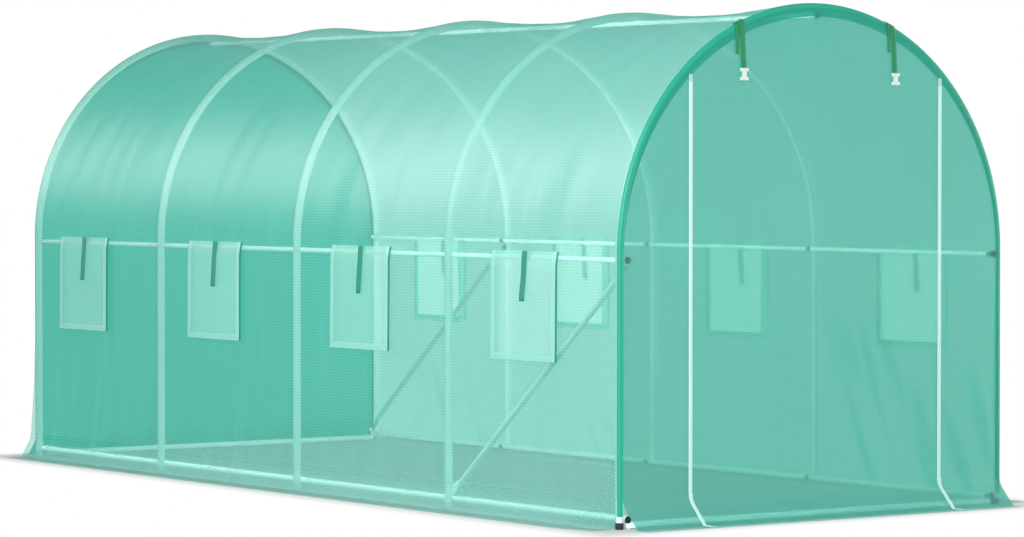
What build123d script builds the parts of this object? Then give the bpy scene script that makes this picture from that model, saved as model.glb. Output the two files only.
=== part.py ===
"""A walk-in polytunnel greenhouse: five tube hoops, rails, braces and a sewn translucent cover.

The tunnel runs along Y with its door end at -Y. X is across and Z is up.
The origin is on the ground, at the centre of the footprint. Lengths are in millimetres.
"""

import os
from math import acos, cos, degrees, hypot, radians, sin, sqrt

from build123d import *

os.makedirs("parts", exist_ok=True)

# Frame
tunnel_width = 2000.0  # across the outsides of the hoop tubes
spring_height = 1067.0  # where the straight legs turn into the arch
bay_length = 1172.0  # from one hoop to the next
bay_count = 4
hoop_diameter = 34.0
rail_diameter = 22.0
rail_drop = 20.0  # from the spring line down to the side rails
base_diameter = 28.0
base_overlap = 5.0  # how far the side base rails reach down past the tops of the end ones
brace_diameter = 24.0

# Clearances
seat_gap = 0.3  # between pieces that rest on each other
seam_gap = 3.0  # the narrow neck that shows where one tube enters the next

# Swaged tube joints
spigot_step = 1.5  # how much the pushed-in end is narrower, in radius
spigot_length = 60.0
socket_tail = 70.0  # straight end of a haunch tube below the spring line
haunch_angle = 45.0  # where a haunch tube meets the crown tube
rail_joint_offset = 60.0  # from a hoop to the joint in the rails

# Plastic feet and rail caps
foot_height = 26.0
foot_chamfer = 2.0
cap_thickness = 6.0
cap_lip = 3.0  # how far a ridge or side rail's cap stands out beyond it
cap_fillet = 1.5

# Diagonal braces
brace_low = 70.0  # height of the lower bolt
brace_drop = 52.0  # from the spring line down to the upper bolt
brace_flat_length = 36.0  # flattened end, past the bolt towards the tube
brace_flat_width = 30.0
brace_flat_thickness = 4.0
brace_taper_length = 36.0  # from the flattened end to the round tube
brace_bolt_hole = 7.0
brace_corner_share = 0.33  # corner radius of the flattened end, of its thickness

# Cover sheet
cover_thickness = 3.0
roof_sag = 33.0  # dip at mid bay, where the sheet comes down on the ridge rail
skirt_rise = 100.0  # height where the cover leans out to become the ground skirt
side_flare = 55.0  # how far out the leaning part of a side skirt meets the ground
end_flare = 96.0  # the same for the skirt across an end
skirt_width = 160.0

# Windows
window_width = 370.0
window_height = 380.0
window_drop = 27.0  # from the spring line down to the top of a window
window_pitch = 1197.0
window_count = 4
left_window_shift = 54.0  # of the row's middle, towards the rear
right_window_shift = 12.0
mesh_overlap = 15.0
mesh_thickness = 1.5
flap_width = 446.0
flap_height = 440.0
flap_rise = 7.0  # how far a flap starts above the spring line
flap_thickness = 1.5
flap_hem_width = 28.0
flap_hem_thickness = 1.0
tie_width = 32.0
tie_length = 202.0
tie_thickness = 2.0

# Door end
zip_spacing = 1300.0  # between the middles of the two zips
zip_width = 18.0
zip_thickness = 2.0
zip_slit = 2.0  # gap between door and side panel behind a zip
trim_flange = 16.0  # flat edge of the sleeve round the end hoop, inside the hoop's centre line
strap_spacing = 790.0  # between the two door straps
strap_width = 26.0
strap_length = 165.0
strap_tail_width = 16.0
strap_tail_length = 100.0
strap_tail_gap = 2.0
strap_thickness = 2.0
buckle_width = 42.0
buckle_waist = 22.0
buckle_height = 50.0
buckle_bar = 14.0  # height of each cross bar of the buckle
buckle_thickness = 6.0
buckle_overlap = 8.0  # how much of the strap's end the buckle covers

# Places worked out from the sizes above
hoop_outer = tunnel_width / 2
hoop_radius = hoop_outer - hoop_diameter / 2
hoop_inner = hoop_outer - hoop_diameter
frame_half = bay_length * bay_count / 2
hoop_places = [bay_length * number - frame_half for number in range(bay_count + 1)]
seam_height = spring_height - socket_tail

side_rail_height = spring_height - rail_drop
brace_high = spring_height - brace_drop
window_middle = spring_height - window_drop - window_height / 2
flap_top = spring_height + flap_rise

rail_inset = hoop_inner - seat_gap - rail_diameter / 2
base_inset = hoop_inner - seat_gap - base_diameter / 2
end_rail_height = base_diameter / 2
base_height = base_diameter + base_diameter / 2 - base_overlap
rail_end = frame_half + hoop_diameter / 2 - cap_thickness

cover_inner = hoop_outer + seat_gap
cover_outer = cover_inner + cover_thickness
end_inner = frame_half + hoop_diameter / 2 + seat_gap
end_outer = end_inner + cover_thickness
panel_radius = hoop_radius - trim_flange - seat_gap
zip_place = zip_spacing / 2
sleeve_inner = hoop_diameter / 2 + seat_gap
sleeve_outer = sleeve_inner + cover_thickness


def write(piece, name):
    """Label a finished piece and write it as a STEP file."""
    piece.part.label = name
    export_step(piece.part, f"parts/{name}.step")


def across(place):
    """The upright plane across the tunnel at a place along it, facing the door end."""
    return Plane.XZ.offset(-place)


def arch_plane(angle, place):
    """The plane that cuts a hoop square at an angle above the right spring line."""
    radial = (cos(radians(angle)), 0, sin(radians(angle)))
    tangent = (-sin(radians(angle)), 0, cos(radians(angle)))
    return Plane(origin=(0, place, spring_height), x_dir=radial, z_dir=tangent)


def arch_tube(radius, start, span, place, mode=Mode.ADD):
    """A bent round bar along the hoop line, from a start angle over a span of degrees."""
    with BuildSketch(arch_plane(start, place)) as ring:
        with Locations((hoop_radius, 0)):
            Circle(radius)
    axis = Axis((0, place, spring_height), (0, -1, 0))
    revolve(ring.sketch.faces(), axis=axis, revolution_arc=span, mode=mode)


def arch_outline(radius, bottom):
    """The tunnel's outline as a face: upright sides under a half circle."""
    with BuildLine() as outline:
        Line((-radius, bottom), (-radius, spring_height))
        CenterArc((0, spring_height), radius, 0, 180)
        Polyline((radius, spring_height), (radius, bottom), (-radius, bottom))
    make_face(outline.edges())


# Hoops: two legs, two haunch tubes and a crown tube
hoop_spigot = hoop_diameter / 2 - spigot_step
hoop_socket = hoop_spigot + seat_gap
spigot_angle = degrees(spigot_length / hoop_radius)
seam_angle = degrees(seam_gap / hoop_radius)
gap_angle = degrees(seat_gap / hoop_radius)


def hoop_legs(name, place):
    """The two straight legs of a hoop, each with a narrowed top end."""
    with BuildPart() as legs:
        with BuildSketch(across(place)):
            with BuildLine():
                Polyline(
                    (hoop_radius, foot_height),
                    (hoop_outer, foot_height),
                    (hoop_outer, seam_height - seam_gap - spigot_step),
                    (hoop_radius + hoop_spigot, seam_height - seam_gap),
                    (hoop_radius + hoop_spigot, seam_height + spigot_length),
                    (hoop_radius, seam_height + spigot_length),
                    close=True,
                )
            make_face()
        revolve(axis=Axis((hoop_radius, place, 0), (0, 0, 1)))
        mirror(about=Plane.YZ)
    write(legs, name)


def hoop_arch(name, place):
    """The crown tube and the two haunch tubes that plug into it."""
    crown_start = haunch_angle + seam_angle
    crown_span = 180 - 2 * crown_start
    socket_span = spigot_angle + gap_angle
    with BuildPart() as arch:
        arch_tube(hoop_diameter / 2, crown_start, crown_span, place)
        arch_tube(hoop_socket, crown_start, socket_span, place, Mode.SUBTRACT)
        arch_tube(hoop_socket, 180 - crown_start - socket_span, socket_span, place, Mode.SUBTRACT)
        with BuildSketch(Plane.XY.offset(seam_height)):
            with Locations((hoop_radius, place)):
                Circle(hoop_diameter / 2)
                Circle(hoop_socket, mode=Mode.SUBTRACT)
        extrude(amount=spigot_length + seat_gap)
        with BuildSketch(Plane.XY.offset(seam_height + spigot_length + seat_gap)):
            with Locations((hoop_radius, place)):
                Circle(hoop_diameter / 2)
        extrude(amount=socket_tail - spigot_length - seat_gap)
        arch_tube(hoop_diameter / 2, 0, haunch_angle, place)
        arch_tube(hoop_spigot, haunch_angle, seam_angle + spigot_angle, place)
        mirror(arch.solids().sort_by(Axis.X)[-1], about=Plane.YZ)
    write(arch, name)


for number, place in enumerate(hoop_places, start=1):
    hoop_legs(f"hoop_{number}_legs", place)
    hoop_arch(f"hoop_{number}_arch", place)


# Feet: a plastic plug under every leg
with BuildPart() as feet:
    with BuildSketch():
        with Locations(*[(side * hoop_radius, place) for place in hoop_places for side in (-1, 1)]):
            Circle(hoop_diameter / 2)
    extrude(amount=foot_height)
    chamfer(feet.faces().sort_by(Axis.Z)[: len(hoop_places) * 2].edges(), foot_chamfer)
write(feet, "leg_feet")


# Long rails, inside the hoops from end to end
def rail_joint(hoop):
    """Place of the joint in a rail just behind a hoop."""
    return hoop_places[hoop] + rail_joint_offset


def long_rail(name, offset, height, diameter):
    """A rail of one tube to a bay, each narrowed at its front end to enter the one before."""
    spigot = diameter / 2 - spigot_step
    with BuildPart() as rail:
        for tube in range(bay_count):
            first, last = tube == 0, tube == bay_count - 1
            front = -rail_end if first else rail_joint(tube) + seam_gap
            rear = rail_end if last else rail_joint(tube + 1)
            with BuildSketch(across(rear)):
                with Locations((offset, height)):
                    Circle(diameter / 2)
            extrude(amount=rear - front)
            if not last:
                with BuildSketch(across(rear)):
                    with Locations((offset, height)):
                        Circle(spigot + seat_gap)
                extrude(amount=spigot_length + seat_gap, mode=Mode.SUBTRACT)
            if not first:
                with BuildSketch(across(front)):
                    with Locations((offset, height)):
                        Circle(spigot)
                extrude(amount=seam_gap + spigot_length)
    write(rail, name)


ridge_height = spring_height + rail_inset
long_rail("ridge_rail", 0, ridge_height, rail_diameter)
for side, x_sign in (("left", -1), ("right", 1)):
    long_rail(f"{side}_side_rail", x_sign * rail_inset, side_rail_height, rail_diameter)
    long_rail(f"{side}_base_rail", x_sign * base_inset, base_height, base_diameter)


# Base rails across the two ends, each of two tubes joined in the middle
def end_base_rail(name, place):
    """A rail on the ground across an end, its ends tucked under the two side base rails."""
    tuck = sqrt((base_diameter / 2) ** 2 - (base_height - base_diameter) ** 2)
    reach = base_inset - tuck - seat_gap
    spigot = base_diameter / 2 - spigot_step
    with BuildPart() as rail:
        with BuildSketch(Plane.YZ.offset(-reach)):
            with Locations((place, end_rail_height)):
                Circle(base_diameter / 2)
        extrude(amount=reach)
        with BuildSketch(Plane.YZ):
            with Locations((place, end_rail_height)):
                Circle(spigot + seat_gap)
        extrude(amount=-spigot_length - seat_gap, mode=Mode.SUBTRACT)
        with BuildSketch(Plane.YZ.offset(seam_gap)):
            with Locations((place, end_rail_height)):
                Circle(base_diameter / 2)
        extrude(amount=reach - seam_gap)
        with BuildSketch(Plane.YZ.offset(seam_gap)):
            with Locations((place, end_rail_height)):
                Circle(spigot)
        extrude(amount=-seam_gap - spigot_length)
    write(rail, name)


end_base_rail("front_base_rail", -frame_half)
end_base_rail("rear_base_rail", frame_half)


# Caps that close the ends of the long rails
def rail_caps():
    """One plastic cap on each end of the five long rails, flush on the base rails."""
    capped = rail_diameter + 2 * cap_lip
    rails = [(0, ridge_height, capped)]
    for x_sign in (-1, 1):
        rails.append((x_sign * rail_inset, side_rail_height, capped))
        rails.append((x_sign * base_inset, base_height, base_diameter))
    with BuildPart() as caps:
        with BuildSketch(across(-rail_end)):
            for offset, height, diameter in rails:
                with Locations((offset, height)):
                    Circle(diameter / 2)
        extrude(amount=cap_thickness)
        fillet(caps.faces().filter_by(Axis.Y).group_by(Axis.Y)[0].edges(), cap_fillet)
        mirror(about=Plane.XZ)
    write(caps, "rail_end_caps")


rail_caps()


# Diagonal braces
def brace(name, x_sign, low_place, high_place):
    """A tube with flattened, drilled ends, from low on one leg to high on the next."""
    reach = hypot(high_place - low_place, brace_high - brace_low)
    along = ((high_place - low_place) / reach, (brace_high - brace_low) / reach)
    wall = x_sign * (hoop_inner - seat_gap)
    axis_place = wall - x_sign * brace_diameter / 2
    flat_place = wall - x_sign * brace_flat_thickness / 2
    flat_end = brace_flat_length
    round_end = brace_flat_length + brace_taper_length

    def cut(distance, offset):
        """The plane square to the brace, a distance up it from its lower bolt."""
        origin = (offset, low_place + along[0] * distance, brace_low + along[1] * distance)
        return Plane(origin=origin, x_dir=(1, 0, 0), z_dir=(0, along[0], along[1]))

    with BuildPart() as tube:
        with BuildSketch(cut(round_end, axis_place)):
            Circle(brace_diameter / 2)
        extrude(amount=reach - 2 * round_end)
        for flat, rounded in ((flat_end, round_end), (reach - flat_end, reach - round_end)):
            with BuildSketch(cut(flat, flat_place)):
                corner = brace_corner_share * brace_flat_thickness
                RectangleRounded(brace_flat_thickness, brace_flat_width, corner)
            with BuildSketch(cut(rounded, axis_place)):
                Circle(brace_diameter / 2)
            loft()
        plate = Plane(
            origin=(flat_place, low_place, brace_low),
            x_dir=(0, along[0], along[1]),
            z_dir=(1, 0, 0),
        )
        with BuildSketch(plate):
            for bolt, flat in ((0, flat_end), (reach, reach - flat_end)):
                with Locations(((bolt + flat) / 2, 0)):
                    Rectangle(flat_end, brace_flat_width)
                with Locations((bolt, 0)):
                    Circle(brace_flat_width / 2)
            with Locations((0, 0), (reach, 0)):
                Circle(brace_bolt_hole / 2, mode=Mode.SUBTRACT)
        extrude(amount=brace_flat_thickness / 2, both=True)
    write(tube, name)


brace("left_front_brace", -1, hoop_places[1], hoop_places[0])
brace("right_rear_brace", 1, hoop_places[-1], hoop_places[-2])


# Roof sheet, one bay at a time, dipping between the hoops
def roof_section(sag):
    """A thin half ring whose crown is lowered by the sag."""
    with BuildLine() as outline:
        EllipticalCenterArc((0, spring_height), cover_outer, cover_outer - sag, 0, arc_size=180)
        Line((-cover_outer, spring_height), (-cover_inner, spring_height))
        EllipticalCenterArc((0, spring_height), cover_inner, cover_inner - sag, 0, arc_size=180)
        Line((cover_inner, spring_height), (cover_outer, spring_height))
    make_face(outline.edges())


def roof_bay(name, front, rear):
    """The roof sheet of one bay, from hoop to hoop."""
    with BuildPart() as roof:
        for place, sag in ((front, 0), ((front + rear) / 2, roof_sag), (rear, 0)):
            with BuildSketch(across(place)):
                roof_section(sag)
        loft()
    write(roof, name)


for number in range(bay_count):
    roof_bay(f"roof_cover_bay_{number + 1}", hoop_places[number], hoop_places[number + 1])


# Side walls with their windows
def window_places(shift):
    """Middles of the windows along a wall."""
    return [shift + window_pitch * (number - (window_count - 1) / 2) for number in range(window_count)]


def side_wall(name, x_sign, shift):
    """An upright sheet from the skirt to the spring line, cut through for its windows."""
    with BuildPart() as wall:
        with BuildSketch(Plane.YZ.offset(x_sign * cover_inner)):
            with Locations((0, (skirt_rise + spring_height) / 2)):
                Rectangle(2 * frame_half, spring_height - skirt_rise)
            with Locations(*[(place, window_middle) for place in window_places(shift)]):
                Rectangle(window_width, window_height, mode=Mode.SUBTRACT)
        extrude(amount=x_sign * cover_thickness)
    write(wall, name)


def window_flaps(name, x_sign, shift):
    """Covers that hang outside the windows, with a thicker hem down the sides and along the foot."""
    back = x_sign * (cover_outer + seat_gap)
    middle = flap_top - flap_height / 2
    with BuildPart() as flaps:
        with BuildSketch(Plane.YZ.offset(back)):
            with Locations(*[(place, middle) for place in window_places(shift)]):
                Rectangle(flap_width, flap_height)
        extrude(amount=x_sign * flap_thickness)
        with BuildSketch(Plane.YZ.offset(back + x_sign * flap_thickness)):
            with Locations(*[(place, middle) for place in window_places(shift)]):
                Rectangle(flap_width, flap_height)
            with Locations(*[(place, middle + flap_hem_width / 2) for place in window_places(shift)]):
                Rectangle(
                    flap_width - 2 * flap_hem_width, flap_height - flap_hem_width, mode=Mode.SUBTRACT
                )
        extrude(amount=x_sign * flap_hem_thickness)
    write(flaps, name)


def flap_ties(name, x_sign, shift):
    """A strap that hangs down the middle of each window flap."""
    back = x_sign * (cover_outer + seat_gap + flap_thickness + seat_gap)
    with BuildPart() as ties:
        with BuildSketch(Plane.YZ.offset(back)):
            with Locations(*[(place, flap_top - tie_length / 2) for place in window_places(shift)]):
                Rectangle(tie_width, tie_length)
        extrude(amount=x_sign * tie_thickness)
    write(ties, name)


for side, x_sign, shift in (("left", -1, left_window_shift), ("right", 1, right_window_shift)):
    side_wall(f"{side}_wall_cover", x_sign, shift)
    window_flaps(f"{side}_window_flaps", x_sign, shift)
    flap_ties(f"{side}_flap_ties", x_sign, shift)


# Insect mesh sewn to the inside of every window
with BuildPart() as meshes:
    for x_sign, shift in ((-1, left_window_shift), (1, right_window_shift)):
        with BuildSketch(Plane.YZ.offset(x_sign * (cover_inner - seat_gap))):
            with Locations(*[(place, window_middle) for place in window_places(shift)]):
                Rectangle(window_width + 2 * mesh_overlap, window_height + 2 * mesh_overlap)
        extrude(amount=-x_sign * mesh_thickness)
write(meshes, "window_meshes")


# End panels
def end_panel(name, inner, thickness, low, high):
    """A flat sheet in the arch, between two places across the tunnel."""
    with BuildPart() as panel:
        with BuildSketch(across(inner)):
            arch_outline(panel_radius, skirt_rise)
            with Locations(((low + high) / 2, 0)):
                Rectangle(high - low, 2 * (spring_height + panel_radius), mode=Mode.INTERSECT)
        extrude(amount=thickness)
    write(panel, name)


door_half = zip_place - zip_slit / 2
side_half = zip_place + zip_slit / 2
end_panel("front_left_panel", -end_inner, cover_thickness, -panel_radius, -side_half)
end_panel("front_right_panel", -end_inner, cover_thickness, side_half, panel_radius)
end_panel("front_door", -end_inner, cover_thickness, -door_half, door_half)
end_panel("rear_panel", end_inner, -cover_thickness, -panel_radius, panel_radius)


# Sleeve that takes the sheet round each end hoop, from the roof to the end panel
def sleeve_section():
    """A quarter ring round the hoop tube with a short flat edge, drawn from the hoop's centre line."""
    edge = -trim_flange
    with BuildLine() as outline:
        CenterArc((0, 0), sleeve_outer, 0, 90)
        Polyline((0, sleeve_outer), (edge, sleeve_outer), (edge, sleeve_inner), (0, sleeve_inner))
        CenterArc((0, 0), sleeve_inner, 0, 90)
        Line((sleeve_inner, 0), (sleeve_outer, 0))
    make_face(outline.edges())


def arch_trim(name, y_sign):
    """The sleeve round an end hoop: two upright lengths joined by a half circle."""
    place = y_sign * frame_half
    spring_line = Plane(
        origin=(hoop_radius, place, spring_height),
        x_dir=(1, 0, 0),
        z_dir=(0, 0, y_sign),
    )
    with BuildPart() as trim:
        with BuildSketch(spring_line):
            sleeve_section()
        revolve(axis=Axis((0, place, spring_height), (0, -1, 0)), revolution_arc=180)
        with BuildSketch(spring_line):
            sleeve_section()
        extrude(amount=y_sign * (skirt_rise - spring_height))
        with BuildSketch(Plane((-hoop_radius, place, spring_height), (-1, 0, 0), (0, 0, -y_sign))):
            sleeve_section()
        extrude(amount=y_sign * (spring_height - skirt_rise))
    write(trim, name)


arch_trim("front_arch_trim", -1)
arch_trim("rear_arch_trim", 1)


# Ground skirt: leans out from the foot of each wall and then lies flat, open at the four corners
def skirt_section(inner, outer, flare, sign):
    """The bent section of the skirt, drawn outwards from a wall's two faces."""
    lean = flare / (skirt_rise - cover_thickness)
    points = [
        (inner, skirt_rise),
        (outer, skirt_rise),
        (outer + flare, cover_thickness),
        (outer + skirt_width, cover_thickness),
        (outer + skirt_width, 0),
        (inner + lean * skirt_rise, 0),
    ]
    with BuildLine() as outline:
        Polyline(*[(sign * out, height) for out, height in points], close=True)
    make_face(outline.edges())


def side_skirt(name, x_sign):
    """The skirt along a side wall."""
    with BuildPart() as skirt:
        with BuildSketch(Plane.XZ):
            skirt_section(cover_inner, cover_outer, side_flare, x_sign)
        extrude(amount=frame_half, both=True)
    write(skirt, name)


def end_skirt(name, y_sign, spans):
    """The skirt across an end, in one piece or slit below the zips."""
    with BuildPart() as skirt:
        for low, high in spans:
            with BuildSketch(Plane.YZ.offset(low)):
                skirt_section(end_inner, end_outer, end_flare, y_sign)
            extrude(amount=high - low)
    write(skirt, name)


side_skirt("left_skirt", -1)
side_skirt("right_skirt", 1)
end_skirt(
    "front_skirt",
    -1,
    [(-panel_radius, -side_half), (-door_half, door_half), (side_half, panel_radius)],
)
end_skirt("rear_skirt", 1, [(-panel_radius, panel_radius)])


# Zips down both sides of the door and on over the skirt
with BuildPart() as zips:
    zip_back = end_outer + seat_gap
    zip_front = zip_back + zip_thickness
    zip_top = spring_height + sqrt(panel_radius**2 - (zip_place + zip_width / 2) ** 2)
    zip_foot = cover_thickness + seat_gap
    for x_sign in (-1, 1):
        with BuildSketch(Plane.YZ.offset(x_sign * zip_place)):
            with BuildLine():
                Polyline(
                    (-zip_back, zip_top),
                    (-zip_back, skirt_rise),
                    (-zip_back - end_flare, zip_foot),
                    (-end_outer - skirt_width, zip_foot),
                    (-end_outer - skirt_width, zip_foot + zip_thickness),
                    (-zip_front - end_flare, zip_foot + zip_thickness),
                    (-zip_front, skirt_rise + zip_thickness),
                    (-zip_front, zip_top),
                    close=True,
                )
            make_face()
        extrude(amount=zip_width / 2, both=True)
write(zips, "door_zips")


# Straps that tie the rolled-up door: each loops over the end hoop and has a shorter tail beside it
strap_inner = sleeve_outer + seat_gap
strap_outer = strap_inner + strap_thickness
strap_back = frame_half + strap_inner
strap_places = [-strap_spacing / 2, strap_spacing / 2]
tail_shift = -(strap_width + strap_tail_width) / 2 - strap_tail_gap


def hoop_top(place):
    """Height of the hoop's centre line at a place across the tunnel."""
    return spring_height + sqrt(hoop_radius**2 - place**2)


def strap(place, width, length):
    """A strap that lies over the end hoop, square to it, and then hangs straight down."""
    span = degrees(width / hoop_radius)
    start = degrees(acos(place / hoop_radius)) - span / 2
    with BuildSketch(arch_plane(start, -frame_half)) as ring:
        with BuildLine():
            CenterArc((hoop_radius, 0), strap_outer, 0, -90)
            Line((hoop_radius, -strap_outer), (hoop_radius, -strap_inner))
            CenterArc((hoop_radius, 0), strap_inner, 0, -90)
            Line((hoop_radius + strap_inner, 0), (hoop_radius + strap_outer, 0))
        make_face()
    axis = Axis((0, -frame_half, spring_height), (0, -1, 0))
    revolve(ring.sketch.faces(), axis=axis, revolution_arc=span)
    foot = hoop_top(place) - length
    top = hoop_top(abs(place) - width / 2)
    with BuildSketch(across(-strap_back)) as tail:
        with Locations((place, (foot + top) / 2)):
            Rectangle(width, top - foot)
    extrude(tail.sketch.faces(), amount=strap_thickness)


with BuildPart() as straps:
    for place in strap_places:
        strap(place, strap_width, strap_length)
        strap(place + tail_shift, strap_tail_width, strap_tail_length)
write(straps, "door_straps")

# Moulded buckles on the ends of the straps
with BuildPart() as buckles:
    buckle_top = hoop_top(strap_spacing / 2) - strap_length + buckle_overlap
    with BuildSketch(across(-strap_back - strap_thickness - seat_gap)):
        with Locations(*[(place, buckle_top) for place in strap_places]):
            with Locations((0, -buckle_height / 2)):
                Rectangle(buckle_waist, buckle_height)
            with Locations((0, -buckle_bar / 2), (0, buckle_bar / 2 - buckle_height)):
                Rectangle(buckle_width, buckle_bar)
    extrude(amount=buckle_thickness)
write(buckles, "strap_buckles")
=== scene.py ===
# %% [markdown]
# # A walk-in polytunnel
#
# This lesson dresses the CAD model of a tunnel greenhouse. The tubes, caps and feet are rigid, so
# they stay as CAD solids and only get finishes. Everything sewn is cloth. It is modelled here as
# thin sheets that are cut flat, bent over the hoops and then given their sag and creases.

# %% Load the CAD frame
from math import asin, cos, hypot, pi, radians, sin, sqrt

import bmesh
import bpy
from mathutils import Matrix, Vector, noise


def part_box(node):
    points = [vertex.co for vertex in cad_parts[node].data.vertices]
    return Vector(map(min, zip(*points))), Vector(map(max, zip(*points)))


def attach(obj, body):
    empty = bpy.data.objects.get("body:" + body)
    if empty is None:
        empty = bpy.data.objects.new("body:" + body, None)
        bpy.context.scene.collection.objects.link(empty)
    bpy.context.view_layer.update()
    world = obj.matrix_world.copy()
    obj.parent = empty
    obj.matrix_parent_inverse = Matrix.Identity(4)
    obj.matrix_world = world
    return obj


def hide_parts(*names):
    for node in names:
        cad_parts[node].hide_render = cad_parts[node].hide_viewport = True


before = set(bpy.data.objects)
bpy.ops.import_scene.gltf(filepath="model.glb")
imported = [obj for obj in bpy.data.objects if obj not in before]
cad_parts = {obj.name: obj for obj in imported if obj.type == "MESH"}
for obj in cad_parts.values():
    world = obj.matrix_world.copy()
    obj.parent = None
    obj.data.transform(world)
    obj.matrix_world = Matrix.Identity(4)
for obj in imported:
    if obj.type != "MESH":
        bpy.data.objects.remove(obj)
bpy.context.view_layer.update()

print("CAD nodes:", len(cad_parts))

# %% [markdown]
# ## Measures
#
# A sheet that lies on a tube has to know where the tube is. The places could be typed in again,
# but reading them from the boxes of the CAD nodes keeps the cloth on the frame if a size changes.
# All lengths are in metres, with Z up and the door end at -Y.

# %% Measure the frame
leg_low, leg_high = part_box("hoop_1_legs")
half_width = leg_high.x
tube = leg_high.y - leg_low.y
hoop_line = half_width - tube / 2
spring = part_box("hoop_1_arch")[1].z - half_width
hoop_boxes = [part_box(f"hoop_{number}_legs") for number in range(1, 6)]
hoop_places = [(low.y + high.y) / 2 for low, high in hoop_boxes]
half_length = hoop_places[-1]
bay = hoop_places[1] - hoop_places[0]
wall_low, wall_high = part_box("right_wall_cover")
cover_radius = (wall_low.x + wall_high.x) / 2
skirt_top = wall_low.z
end_place = sum(corner.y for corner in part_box("rear_panel")) / 2
end_clear = 0.001
sheet_radius = hoop_line - end_clear
skirt_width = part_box("right_skirt")[1].x - wall_high.x
print(f"hoop line {hoop_line:.3f}, spring {spring:.3f}, bay {bay:.3f}, cover {cover_radius:.4f}")

# %% [markdown]
# ## Camera
#
# The camera stands low and far off the left front corner, with a long lens, as in a catalogue
# picture. Turning it with a direction vector is safer than typing Euler angles, because the
# direction can be checked against the frame's axes.

# %% Place the camera
view_azimuth = radians(-35.43)
view_height = radians(1.52)
towards_camera = Vector(
    (
        sin(view_azimuth) * cos(view_height),
        -cos(view_azimuth) * cos(view_height),
        sin(view_height),
    )
)
camera = bpy.data.objects.new("camera", bpy.data.cameras.new("camera"))
bpy.context.scene.collection.objects.link(camera)
camera.data.sensor_width = 36.0
camera.data.lens = 137.49
camera.location = (-10.125, -14.473, 1.4185)
camera.rotation_mode = "QUATERNION"
camera.rotation_quaternion = (-towards_camera).to_track_quat("-Z", "Y")
bpy.context.scene.camera = camera
print("camera", tuple(round(value, 3) for value in camera.location))

# %% [markdown]
# ## Node helpers
#
# Each finish is a small node tree. One helper adds a node, sets its options and fills or links its
# sockets, and others calculate and mix, so that the recipes below read from top to bottom like a
# list of ingredients.


# %% Helpers for node trees
def fill(tree, socket, value):
    """Link a socket to another one, or else set its value."""
    if isinstance(value, bpy.types.NodeSocket):
        tree.links.new(value, socket)
    else:
        socket.default_value = value


def add_node(tree, kind, options=None, **sockets):
    """Add a shader node; a socket value that is itself a socket is linked."""
    made = tree.nodes.new("ShaderNode" + kind)
    for option, value in (options or {}).items():
        setattr(made, option, value)
    for label, value in sockets.items():
        fill(tree, made.inputs[label.replace("_", " ")], value)
    return made


def calculate(tree, operation, *values):
    """A Math node on numbers and sockets, as its output socket."""
    made = add_node(tree, "Math", {"operation": operation})
    for place, value in enumerate(values):
        fill(tree, made.inputs[place], value)
    return made.outputs[0]


def blend(tree, share, first, second):
    """Mix two shader nodes; the share is that of the second."""
    mixed = add_node(tree, "MixShader", Fac=share)
    for place, shader in ((1, first), (2, second)):
        fill(tree, mixed.inputs[place], shader.outputs[0])
    return mixed


def mix_colours(tree, mode, share, first, second):
    """Mix two colours, as an output socket; colour sockets go by number, as their names repeat."""
    mixed = add_node(tree, "Mix", {"data_type": "RGBA", "blend_type": mode}, Factor=share)
    for place, colour in ((6, first), (7, second)):
        fill(tree, mixed.inputs[place], colour)
    return mixed.outputs[2]


def new_finish(name):
    """An empty material and its node tree."""
    finish = bpy.data.materials.new(name)
    finish.use_nodes = True
    finish.node_tree.nodes.clear()
    return finish, finish.node_tree


def show(tree, surface):
    """Send a shader to the material's output."""
    add_node(tree, "OutputMaterial", Surface=surface)


# %% [markdown]
# ## Studio
#
# The object stands on a pale floor in soft even light. The world is plain white where the camera
# sees it and dimmer where it only lights things, most of all overhead, so that the roof keeps its
# colour. The floor does the same: part of its brightness is its own, and only the camera sees it.
# That part is small under the tunnel and grows outside it, so the ground looks white to the horizon
# and still takes the tunnel's shadow.

# %% World
scene = bpy.context.scene
scene.view_settings.view_transform = "Standard"
world_light, overhead = 0.66, 0.25
white = (1.0, 1.0, 1.0, 1.0)


def seen_directly(tree):
    """1 for rays from the camera, mirrored or let through too, and 0 for rays that only light."""
    rays = add_node(tree, "LightPath").outputs
    seen = calculate(tree, "MAXIMUM", rays["Is Camera Ray"], rays["Is Glossy Ray"])
    return calculate(tree, "MAXIMUM", seen, rays["Is Transmission Ray"])


scene.world = bpy.data.worlds.new("studio")
scene.world.use_nodes = True
sky = scene.world.node_tree
sky.nodes.clear()
aim = add_node(sky, "SeparateXYZ", Vector=add_node(sky, "TexCoord").outputs["Generated"])
dome = add_node(sky, "MapRange", Value=aim.outputs["Z"], To_Min=world_light, To_Max=overhead)
strength = calculate(sky, "MAXIMUM", seen_directly(sky), dome.outputs[0])
backdrop = add_node(sky, "Background", Color=white, Strength=strength)
add_node(sky, "OutputWorld", Surface=backdrop.outputs[0])
print(f"world: {world_light} at the horizon, {overhead} overhead")

# %% Floor
floor_reach, floor_drop = 60.0, 0.001
fade_start, fade_end, inner_share = 0.06, 0.32, 0.05
floor_shape = bmesh.new()
bmesh.ops.create_grid(floor_shape, x_segments=1, y_segments=1, size=floor_reach)
bmesh.ops.translate(floor_shape, verts=floor_shape.verts, vec=(0, 0, -floor_drop))
floor_mesh = bpy.data.meshes.new("floor")
floor_shape.to_mesh(floor_mesh)
floor_shape.free()
floor = bpy.data.objects.new("floor", floor_mesh)
scene.collection.objects.link(floor)

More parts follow.
